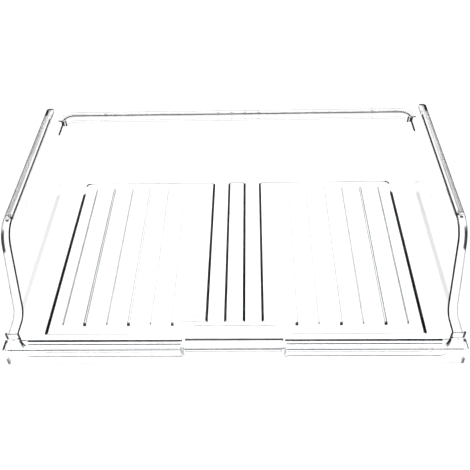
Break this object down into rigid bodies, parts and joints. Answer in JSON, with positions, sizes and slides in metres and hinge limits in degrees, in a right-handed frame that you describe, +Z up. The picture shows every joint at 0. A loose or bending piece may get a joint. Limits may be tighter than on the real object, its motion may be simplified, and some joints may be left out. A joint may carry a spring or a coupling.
{
  "type": "fridge storage box",
  "caption": "Wide, shallow clear storage box for a fridge, with S-shaped side walls, outward side rims to hang it by, a low front with a finger grip and a ribbed floor.",
  "frame": {"origin": "middle of the box's width and depth, at the level of the face that it rests on", "axes": "+X to the right as seen from the front, +Y to the back, +Z up"},
  "size_m": [0.48, 0.34, 0.125],
  "materials": {
    "clear_shell": "clear, polished",
    "clear_runner": "clear, slightly hazy",
    "clear_trim": "clear, polished",
    "clear_panel": "clear, polished"
  },
  "bodies": {
    "root": {"tray_shell": "clear_shell", "left_runner": "clear_runner", "right_runner": "clear_runner", "rear_rim_strip": "clear_trim", "left_front_trim": "clear_trim", "right_front_trim": "clear_trim", "finger_grip": "clear_trim", "left_ribbed_panel": "clear_panel", "right_ribbed_panel": "clear_panel", "centre_strip": "clear_panel"}
  },
  "joints": []
}
